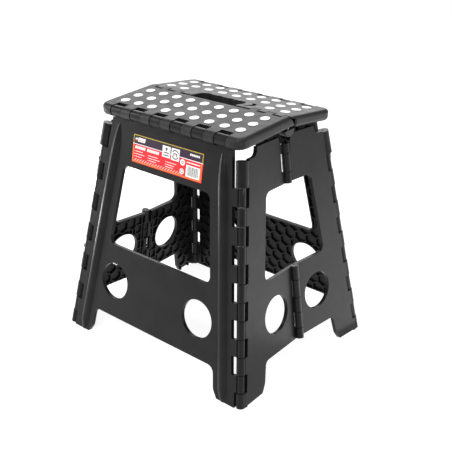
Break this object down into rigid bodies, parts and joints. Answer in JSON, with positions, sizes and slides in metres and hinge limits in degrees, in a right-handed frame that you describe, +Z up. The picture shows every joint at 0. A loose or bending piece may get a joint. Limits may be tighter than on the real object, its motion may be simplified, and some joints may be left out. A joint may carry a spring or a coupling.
{
  "type": "folding step stool",
  "caption": "Folding plastic step stool: a top in two hinged halves with grip dots and a carrying slot, two leg panels and inward-folding sides.",
  "frame": {"origin": "on the floor, under the centre of the stool", "axes": "+Z up, +X along the front to the right, +Y to the back"},
  "size_m": [0.3888, 0.3236, 0.3989],
  "materials": {
    "panels": "satin black moulded plastic",
    "top": "fine-grained black moulded plastic",
    "grip_dots": "matt white rubber",
    "label": "glossy printed label",
    "pins": "drawn steel wire"
  },
  "bodies": {
    "front_leg": {"front_leg": "panels", "pin_top_front": "pins", "pin_corner_left_front": "pins", "pin_corner_right_front": "pins", "label": "label"},
    "rear_leg": {"rear_leg": "panels", "pin_top_rear": "pins", "pin_corner_left_rear": "pins", "pin_corner_right_rear": "pins"},
    "top_front": {"top_front": "top", "dots_front": "grip_dots", "pin_ridge_left": "pins", "pin_ridge_right": "pins"},
    "top_rear": {"top_rear": "top", "dots_rear": "grip_dots"},
    "side_right_front": {"side_right_front": "panels", "pin_side_right_upper": "pins", "pin_side_right_lower": "pins"},
    "side_right_rear": {"side_right_rear": "panels"},
    "side_left_front": {"side_left_front": "panels", "pin_side_left_upper": "pins", "pin_side_left_lower": "pins"},
    "side_left_rear": {"side_left_rear": "panels"}
  },
  "joints": [
    {"name": "top_front_hinge", "type": "hinge", "parent": "front_leg", "child": "top_front", "pos_m": [0, -0.10117, 0.3808], "axis": [1, 0, 0], "range_deg": [-4.9, 72.1]},
    {"name": "left_front_corner", "type": "hinge", "parent": "front_leg", "child": "side_left_front", "pos_m": [-0.1882, -0.1533, 0], "axis": [-0.1409, -0.1569, -0.9775], "range_deg": [-6.01, 85.67]},
    {"name": "left_middle", "type": "hinge", "parent": "side_left_front", "child": "side_left_rear", "pos_m": [-0.1882, 0, 0], "axis": [0.1426, 0, 0.9898], "range_deg": [-11.64, 168.55]},
    {"name": "left_rear_corner", "type": "hinge", "parent": "side_left_rear", "child": "rear_leg", "pos_m": [-0.1882, 0.1533, 0], "axis": [-0.1409, 0.1569, -0.9775], "range_deg": [-6.01, 85.67]},
    {"name": "right_rear_corner", "type": "hinge", "parent": "rear_leg", "child": "side_right_rear", "pos_m": [0.1882, 0.1533, 0], "axis": [0.1409, 0.1569, -0.9775], "range_deg": [-6.01, 85.67]},
    {"name": "top_rear_hinge", "type": "hinge", "parent": "rear_leg", "child": "top_rear", "pos_m": [0, 0.10117, 0.3808], "axis": [-1, 0, 0], "range_deg": [-5.1, 72.3]},
    {"name": "right_front_corner", "type": "hinge", "parent": "front_leg", "child": "side_right_front", "pos_m": [0.1882, -0.1533, 0], "axis": [-0.1409, 0.1569, 0.9775], "range_deg": [-6.01, 85.67]}
  ],
  "couplings": [
    {"joint": "left_front_corner", "follows": "top_front_hinge", "ratio": 1.1855},
    {"joint": "left_middle", "follows": "top_front_hinge", "ratio": 2.335},
    {"joint": "left_rear_corner", "follows": "top_front_hinge", "ratio": 1.1855},
    {"joint": "right_rear_corner", "follows": "top_front_hinge", "ratio": 1.1855},
    {"joint": "top_rear_hinge", "follows": "top_front_hinge", "ratio": 1},
    {"joint": "right_front_corner", "follows": "top_front_hinge", "ratio": 1.1855}
  ]
}
